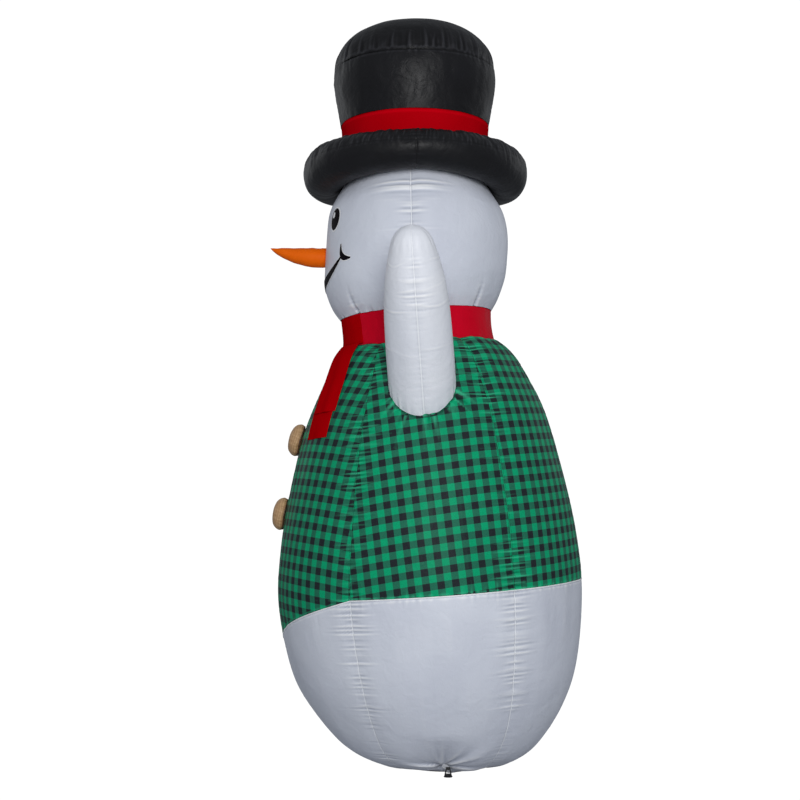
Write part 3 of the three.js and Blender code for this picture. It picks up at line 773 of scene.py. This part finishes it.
# ---- Neck, head, hat ---------------------------------------------------------------------------------
def half(name, skin, relief, first, columns, rows, low, high, material, slot, node, turn=0.0):
    """Half a ring of cloth from an azimuth in degrees. turn moves both its ends towards the front."""
    across = ease(columns)[None, :]
    start, end = math.radians(first), math.radians(first) + math.pi
    if first < 0:
        start, end = start - turn, end + turn
    else:
        start, end = start + turn, end - turn
    azimuth = start + across * (end - start)
    s = low + (high - low) * np.linspace(0, 1, rows)[:, None]
    azimuth, s = (np.broadcast_to(v, (rows, columns)) for v in (azimuth, s))
    folds = relief(azimuth, s)
    points = skin.at(azimuth, s, folds)
    points[..., 2] += np.minimum(s, 0)
    edge = np.minimum(across, 1 - across) * math.pi * np.maximum(skin.radius(s), 0.02)
    obj = grid(name, points, [material], [seam_uv(edge, s), fold_uv(folds)])
    return finish_piece(obj, slot, "envelope", node)


def neck_relief(azimuth, s):
    d = 0.37 * np.abs(np.abs(wrap(azimuth)) - math.pi / 2)
    out = 0.0015 * noise(azimuth * 9, 240, s / 0.08)
    return out + valley(d, 0.003, 0.006) + puckers(d, s, 242, 0.002, 0.02, 0.02)


def band_relief(azimuth, s):
    return 0.0012 * noise(azimuth * 5, 244, s / 0.09) + valley(hat_band.length - s, 0.002, 0.006)


HALVES = (("front", -90), ("back", 90))
SIDES = (("left", 0), ("right", 180))
BRIM_PARTS = (("lower", 0.0, brim_edge), ("upper", brim_edge, brim.length))
for word, first in HALVES:
    half(f"neck_cloth_{word}", neck, neck_relief, first, 150, 24, -0.012, neck.length, RED_CLOTH,
         "red_cloth", f"neck_band_{word}")
    half(f"head_cloth_{word}", head, head_relief, first, 260, 150, 0.0, head.length, WHITE_CLOTH,
         "white_cloth", f"head_panel_{word}", turn=math.radians(-4))
    for label, low, high in BRIM_PARTS:
        half(f"brim_{label}_{word}", brim, brim_relief, first, 300, 70, low, high, BLACK_CLOTH,
             "black_cloth", f"hat_brim_{label}_{word}")
for word, first in SIDES:
    half(f"hat_band_cloth_{word}", hat_band, band_relief, first, 150, 28, 0.0, hat_band.length,
         HAT_RED_CLOTH, "red_cloth", f"hat_band_{word}")
    half(f"crown_cloth_{word}", crown, crown_relief, first, 230, 70, 0.0, crown.length, BLACK_CLOTH,
         "black_cloth", f"hat_crown_side_{word}")


def crown_cap():
    azimuth = np.linspace(0, FULL, 361)[None, :-1]
    s = np.linspace(0, crown_top.length - 0.004, 70)[:, None]
    azimuth, s = np.broadcast_arrays(azimuth, s)
    folds = top_relief(azimuth, s)
    points = crown_top.at(azimuth, s, folds)
    uvs = [seam_uv(s, azimuth * 0.4), fold_uv(folds)]
    obj = grid("crown_top_cloth", points, [BLACK_CLOTH], uvs, closed=True)
    finish_piece(obj, "black_cloth", "envelope", "hat_crown_top")


crown_cap()


# ---- Face --------------------------------------------------------------------------------------------
def on_head(x, z, out):
    """A point of the face: x metres round from the front centre, at an outline height z."""
    azimuth, s = x / FACE_RADIUS, head.at_height(z)
    return head.at(azimuth, s, head_relief(azimuth, s) + out)


def oval(name, x, z, half_width, half_height, lean, out, material):
    turn = np.linspace(0, FULL, 64, endpoint=False)[None, :]
    ring = np.linspace(0.02, 1, 14)[:, None]
    a, b = ring * half_width * np.sin(turn), ring * half_height * np.cos(turn)
    return grid(name, on_head(x + a + lean * b, z + b, out), [material], closed=True)


def eye(word, side):
    x = side * EYE_AZIMUTH * FACE_RADIUS
    layers = [
        ("rim", 0.0, 0.0, 0.052, 0.061, 0.0012, WHITE_INK),
        ("ball", 0.0, 0.0, 0.044, 0.053, 0.0024, INK),
        ("light", -0.012, 0.021, 0.012, 0.015, 0.0034, WHITE_INK),
    ]
    parts = [
        oval(f"eye_{word}_{n}", x + side * dx, EYE_HEIGHT + dz, w, h, side * 0.12, out, m)
        for n, dx, dz, w, h, out, m in layers
    ]
    finish_piece(join(f"eye_{word}_print", parts), "black_print", "envelope", f"eye_{word}")


eye("left", 1)
eye("right", -1)


def stroke(name, x, z, width, out, material):
    """A printed line along a path on the face, with its width at each point."""
    dx, dz = np.gradient(x), np.gradient(z)
    size = np.hypot(dx, dz)
    across = np.linspace(-0.5, 0.5, 7)[:, None] * width
    return grid(name, on_head(x - across * dz / size, z + across * dx / size, out), [material])


def mouth():
    along = np.linspace(-1, 1, 121)
    end = MOUTH_AZIMUTH * FACE_RADIUS
    parts = []
    for label, extra, out, material in (("rim", 0.009, 0.0012, WHITE_INK), ("line", 0.0, 0.0026, INK)):
        z = MOUTH_LOW + 0.098 * np.abs(along) ** 2.3
        width = 0.010 + 0.034 * (1 - np.abs(along) ** 3) + extra
        parts.append(stroke(f"smile_{label}", along * end, z, width, out, material))
        for side in (1, -1):
            t = np.linspace(0.02, 1, 40)
            x = side * (end - 0.004 + 0.076 * t**3)
            z = MOUTH_END + 0.062 - 0.074 * np.sin(t * math.pi / 2)
            width = 0.007 + 0.021 * np.sin(math.pi * t**1.4) + extra
            parts.append(stroke(f"crease_{label}_{side + 1}", x, z, width, out + 0.0002, material))
    finish_piece(join("mouth_print", parts), "black_print", "envelope", "mouth")


mouth()


def nose():
    turn = np.linspace(0, FULL, 64, endpoint=False)[None, :]
    t = np.linspace(0, 0.999, 90)[:, None]
    radius = NOSE_RADIUS * (1 - t**2.1) ** 0.8
    ridge = 0.0016 * noise(t * 9, 250, turn * 0.7) + 0.0011 * noise(t * 26, 251) * np.exp(-t / 0.2)
    ridge = (ridge + 0.0013 * noise(turn * 4, 252) * np.exp(-t / 0.12)) * smooth(1 - t, 0, 0.12)
    centre = head.at(np.array(0.0), head.at_height(2.471))
    x = (radius + ridge) * np.sin(turn)
    z = NOSE_TOP - radius + (radius + ridge) * np.cos(turn)
    y = centre[1] - 0.004 - t * NOSE_LENGTH + 0 * turn + 0.02 * (t < 0.001)
    obj = grid("nose_cloth", np.stack([x, y, z], -1), [ORANGE_CLOTH], closed=True)
    finish_piece(obj, "orange_cloth", "envelope", "nose")


nose()


# ---- Buttons -----------------------------------------------------------------------------------------
def button(word, height):
    """A stuffed disc whose gathered edge is sewn to the vest."""
    s = body.at_height(height)
    ends = body.at(np.zeros(2), s + np.array([-0.001, 0.001]))
    up = ends[1] - ends[0]
    up /= np.linalg.norm(up)
    outward = np.cross([1.0, 0.0, 0.0], up)
    seat = body.at(np.array(0.0), s) + 0.003 * outward
    rise = np.linspace(0, 1, 60)[:, None]
    turn = np.linspace(0, FULL, 120, endpoint=False)[None, :]
    angle = math.pi / 2 * np.clip((rise - 0.12) / 0.88, 0, 0.9995)
    sewn = np.exp(-((rise / 0.2) ** 2))
    gather = (0.0016 * noise(turn * 9, 260 + int(height * 10)) + 0.0012 * noise(turn * 4, 262)) * sewn
    radius = (BUTTON_RADIUS + gather) * np.cos(angle) ** 0.8 * (1 - 0.06 * (1 - smooth(rise, 0, 0.12)))
    depth = 0.016 * np.minimum(rise / 0.12, 1) + 0.046 * np.sin(angle)
    depth = depth + 0.0022 * noise(turn * 2.5, 263, angle * 2.2) * np.cos(angle)
    a, b = radius * np.sin(turn), radius * np.cos(turn)
    points = seat + a[..., None] * np.array([1.0, 0, 0]) + b[..., None] * up + depth[..., None] * outward
    flat = BUTTON_RADIUS * (1 - rise) + 0 * turn
    uv = np.stack([flat * np.sin(turn), flat * np.cos(turn)], -1)
    obj = grid(f"button_{word}_cloth", points, [WOOD_PRINT], [("disc", uv)], closed=True)
    finish_piece(obj, "wood_print_cloth", "envelope", f"button_{word}")


button("upper", 1.600)
button("lower", 1.246)


# ---- Scarf -------------------------------------------------------------------------------------------
def tail(word, edge_degrees, bottom, lift, seed):
    up = np.linspace(0, 1, 130)[:, None]
    across = np.linspace(0, 1, 44)[None, :]
    height = bottom + (TAIL_TOP - bottom) * up
    s = body.at_height(height)
    azimuth = math.radians(edge_degrees) - (1 - across) * TAIL_WIDTH / body.radius(s)
    drape = 0.004 * noise(across * 3.2, seed, up * 1.7) * (1 - 0.6 * up)
    drape = drape + 0.005 * np.maximum(0, noise(up * 3.5, seed + 1, across * 1.5)) * (1 - up)
    points = body.at(azimuth, np.broadcast_to(s, azimuth.shape), lift + drape)
    obj = grid(f"scarf_{word}_cloth", points, [DEEP_RED_CLOTH])
    solid = obj.modifiers.new("cloth", "SOLIDIFY")
    solid.thickness = 0.0016
    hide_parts(f"scarf_tail_{word}")
    apply_modifiers(obj)
    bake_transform(obj)


tail("long", 40.5, 1.592, 0.005, 270)
tail("short", 42.5, 1.711, 0.011, 280)


def scarf_wrap():
    """The knot's loop, a short band folded over the neck band."""
    across = ease(60)[None, :]
    up = np.linspace(0, 1, 48)[:, None]
    azimuth = np.radians(7 + 37 * across) + 0 * up
    height = 2.034 + 0.140 * up
    s = neck.at_height(height) + 0 * across
    drop = np.minimum(height - 2.033, 0)
    edge = np.minimum(across, 1 - across) * 37
    round_off = -0.005 * np.exp(-edge / 0.7)
    fold = 0.0012 * noise(across * 3, 290, up * 1.3)
    over = 0.004 * (1 - smooth(up, 0, 0.35))
    points = neck.at(azimuth, s, 0.002 + fold + 0.4 * round_off + over)
    points[..., 2] += drop
    obj = grid("scarf_wrap_cloth", points, [DEEP_RED_CLOTH])
    solid = obj.modifiers.new("cloth", "SOLIDIFY")
    solid.thickness = 0.003
    finish_piece(obj, "red_cloth", "envelope", "scarf_wrap")


scarf_wrap()


# ---- Arms --------------------------------------------------------------------------------------------
closing = np.radians(np.arange(70, 0, -2))  # the sleeve closes in towards its root
root_line = np.stack([0.152 * np.cos(closing), 0.06 - 0.225 * np.sin(closing)], -1)
sleeve = spline(ARM_OUTLINE)
arm_skin = np.vstack([root_line, sleeve[sleeve[:, 1] > 0.065]])


def arm(word, side):
    """A sleeve that starts on the vest all the way round its root."""
    turn = np.linspace(0, FULL, 181)[:-1]
    aim = np.cos(turn)[:, None] * ARM_SIDE + np.sin(turn)[:, None] * ARM_LIFT
    low, high = np.full(len(turn), -0.14), np.full(len(turn), 0.40)
    for _ in range(40):
        middle = (low + high) / 2
        r = np.interp(middle, arm_skin[:, 1], arm_skin[:, 0])
        p = ARM_PIVOT + middle[:, None] * ARM_AIM + r[:, None] * aim
        height = p[:, 2]
        for _ in range(3):
            height = p[:, 2] - (p[:, 1] - axis_shift(height)) * RING_DIP
        reach = np.hypot(p[:, 0], p[:, 1] - axis_shift(height))
        within = reach < body.radius(body.at_height(height)) - 0.004
        low, high = np.where(within, middle, low), np.where(within, high, middle)
    root = low
    step = np.linspace(0, 1, 190)[:, None]
    along = root + (arm_skin[-1, 1] - root) * (1 - (1 - step) ** 1.25)
    r = np.interp(along, arm_skin[:, 1], arm_skin[:, 0])
    angle = np.broadcast_to(turn, along.shape)
    seam = 0.15 * wrap(angle)
    from_root = along - root
    fold = puckers(from_root, angle * 0.15, 300, 0.006, 0.045, 0.03) * smooth(from_root, -0.01, 0.01)
    fold = fold + valley(seam, 0.005, 0.03) + puckers(seam, along, 310, 0.0032, 0.05, 0.018)
    for k, (where, deep) in enumerate(((0.30, 0.0012), (0.50, 0.0017), (0.585, 0.0012), (0.70, 0.0014))):
        bend = where + 0.02 * noise(angle * 1.3, 320 + k)
        fold = fold - valley(along - bend, deep, 0.005) * (0.6 + 0.4 * noise(angle * 2, 330 + k))
    tip = arm_skin[-1, 1] - along
    fold = fold + 0.003 * noise(angle * 5, 340) * np.exp(-np.abs(tip - 0.07) / 0.05)
    fold = (fold + 0.0022 * noise(angle * 1.6, 345, along / 0.2)) * smooth(tip, 0.0, 0.02)
    r = np.maximum(r + fold, 0.0008)
    aims = np.cos(angle)[..., None] * ARM_SIDE + np.sin(angle)[..., None] * ARM_LIFT
    points = ARM_PIVOT + along[..., None] * ARM_AIM + r[..., None] * aims
    points = points * np.array([side, 1, 1])
    uvs = [seam_uv(np.abs(seam), along), fold_uv(fold)]
    obj = grid(f"arm_{word}_cloth", points, [ARM_CLOTH_PAINTED_LIGHTER], uvs, closed=True)
    if side > 0:
        obj.data.flip_normals()
    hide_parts(f"arm_{word}")
    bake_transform(obj)


arm("left", 1)
arm("right", -1)


# ---- Tie-downs, strap --------------------------------------------------------------------------------
def strap(name, path, normal, thickness, rides, slot, *nodes):
    """A flat strap along a path, with its face towards normal at each point."""
    path, normal = np.array(path, float), np.array(normal, float)
    along = np.gradient(path, axis=0)
    side = np.cross(along, normal)
    side /= np.linalg.norm(side, axis=1)[:, None]
    normal = np.cross(side, along)
    normal /= np.linalg.norm(normal, axis=1)[:, None]
    outline = []
    for u in np.linspace(-1, 1, 7):
        outline.append((u * WEB_WIDTH / 2, thickness / 2 * (1 - 0.5 * u**8)))
    outline += [(u, -v) for u, v in outline[::-1]]
    rings = [path + u * side + v * normal for u, v in outline]
    points = np.stack(rings, 1)
    run = np.concatenate([[0], np.cumsum(np.linalg.norm(np.diff(path, axis=0), axis=1))])
    uv = np.stack(np.broadcast_arrays(np.array([u for u, _ in outline])[None, :], run[:, None]), -1)
    obj = grid(name, points, [WEBBING], [("strap", uv)], closed=True)
    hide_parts(*nodes)
    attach(obj, rides)


for word, side in (("left", 1), ("right", -1)):
    low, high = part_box(f"tie_down_tab_{word}")
    t = np.linspace(0, 1, 24)
    foot = body_surface(np.array(side * math.pi / 2), body.at_height(0.062))
    top = foot[0] - side * 0.004
    x = side * WEB_FOOT + (top - side * WEB_FOOT) * t**3
    z = np.interp(t, [0, 1], [low[2], foot[2]])
    path = np.stack([x, foot[1] * t**2, z], -1)
    normal = [(side, 0, 0)] * len(t)
    strap(f"tie_down_web_{word}", path, normal, 0.0024, "envelope", "webbing", f"tie_down_tab_{word}")

heights = np.linspace(0.008, 3.6, 160)
path = np.stack([0 * heights, axis_shift(heights), heights], -1)
strap("light_web", path, [(0, -1, 0)] * len(heights), 0.0018, "envelope", "webbing", "light_strap")

# ---- Carried-over hard pieces -------------------------------------------------------------------------
HARD = {
    BLACK_PLASTIC: [
        "blower_grille", "blower_clamp_ring", "fan_duct", "motor_bracket", "fan_impeller", "cord_gland",
        "tie_down_anchor_left", "tie_down_anchor_right", "light_lead",
    ],
    ZINC: ["blower_screw_1", "blower_screw_2", "blower_screw_3", "fan_motor", "zip_slider", "zip_pull_tab"],
    ZIP_TAPE: ["zip_tape_left", "zip_tape_right"],
    LENS: ["lamp_1", "lamp_2", "lamp_3"],
}
BEVELS = {
    "blower_grille": 0.0012, "tie_down_anchor_left": 0.0009, "tie_down_anchor_right": 0.0009,
    "zip_slider": 0.0008,
}
for material, names in HARD.items():
    for name in names:
        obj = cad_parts[name]
        obj.data.materials.clear()
        obj.data.materials.append(material)
        if name in BEVELS:
            bevel = obj.modifiers.new("edges", "BEVEL")
            bevel.width = BEVELS[name]
            bevel.segments = 2
            bevel.limit_method = "ANGLE"


# ---- Floor, light -------------------------------------------------------------------------------------
def stage():
    bpy.ops.mesh.primitive_circle_add(vertices=96, radius=60, fill_type="NGON", location=(0, 0, -0.001))
    floor = bpy.context.object
    floor.name = "floor"
    m = Material("floor", 0.9)
    m.colour((0.55, 0.56, 0.58, 1))
    shine = m.node("Emission", {"Strength": 1.05})
    seen = m.node("LightPath").outputs["Is Camera Ray"]
    both = m.node("MixShader")
    for socket, value in zip(both.inputs, (seen, m.shader.outputs[0], shine.outputs[0])):
        m.plug(value, socket)
    m.tree.links.new(both.outputs[0], m.tree.nodes["Material Output"].inputs[0])
    floor.data.materials.append(m.made)

    world = bpy.data.worlds.new("world")
    scene.world = world
    world.use_nodes = True
    tree = world.node_tree
    seen = tree.nodes["Background"]
    seen.inputs["Color"].default_value = (1, 1, 1, 1)
    seen.inputs["Strength"].default_value = 1.05
    glow = tree.nodes.new("ShaderNodeBackground")
    glow.inputs["Color"].default_value = (0.88, 0.93, 1, 1)
    glow.inputs["Strength"].default_value = 0.34
    path = tree.nodes.new("ShaderNodeLightPath")
    mix = tree.nodes.new("ShaderNodeMixShader")
    tree.links.new(path.outputs["Is Camera Ray"], mix.inputs[0])
    tree.links.new(glow.outputs[0], mix.inputs[1])
    tree.links.new(seen.outputs[0], mix.inputs[2])
    tree.links.new(mix.outputs[0], tree.nodes["World Output"].inputs[0])

    lights = (
        ("key", (6.6, 0.3, 3.0), 2.4, 205),
        ("fill", (-4.0, -5.0, 4.5), 4.0, 25),
        ("back", (-4.0, 5.5, 4.5), 4.0, 20),
    )
    for name, place, size, power in lights:
        lamp = bpy.data.lights.new(name, "AREA")
        lamp.size, lamp.energy = size, power
        obj = bpy.data.objects.new(name, lamp)
        scene.collection.objects.link(obj)
        obj.location = place
        aim = Vector((0, 0, 1.7)) - Vector(place)
        obj.rotation_euler = aim.to_track_quat("-Z", "Y").to_euler()


stage()
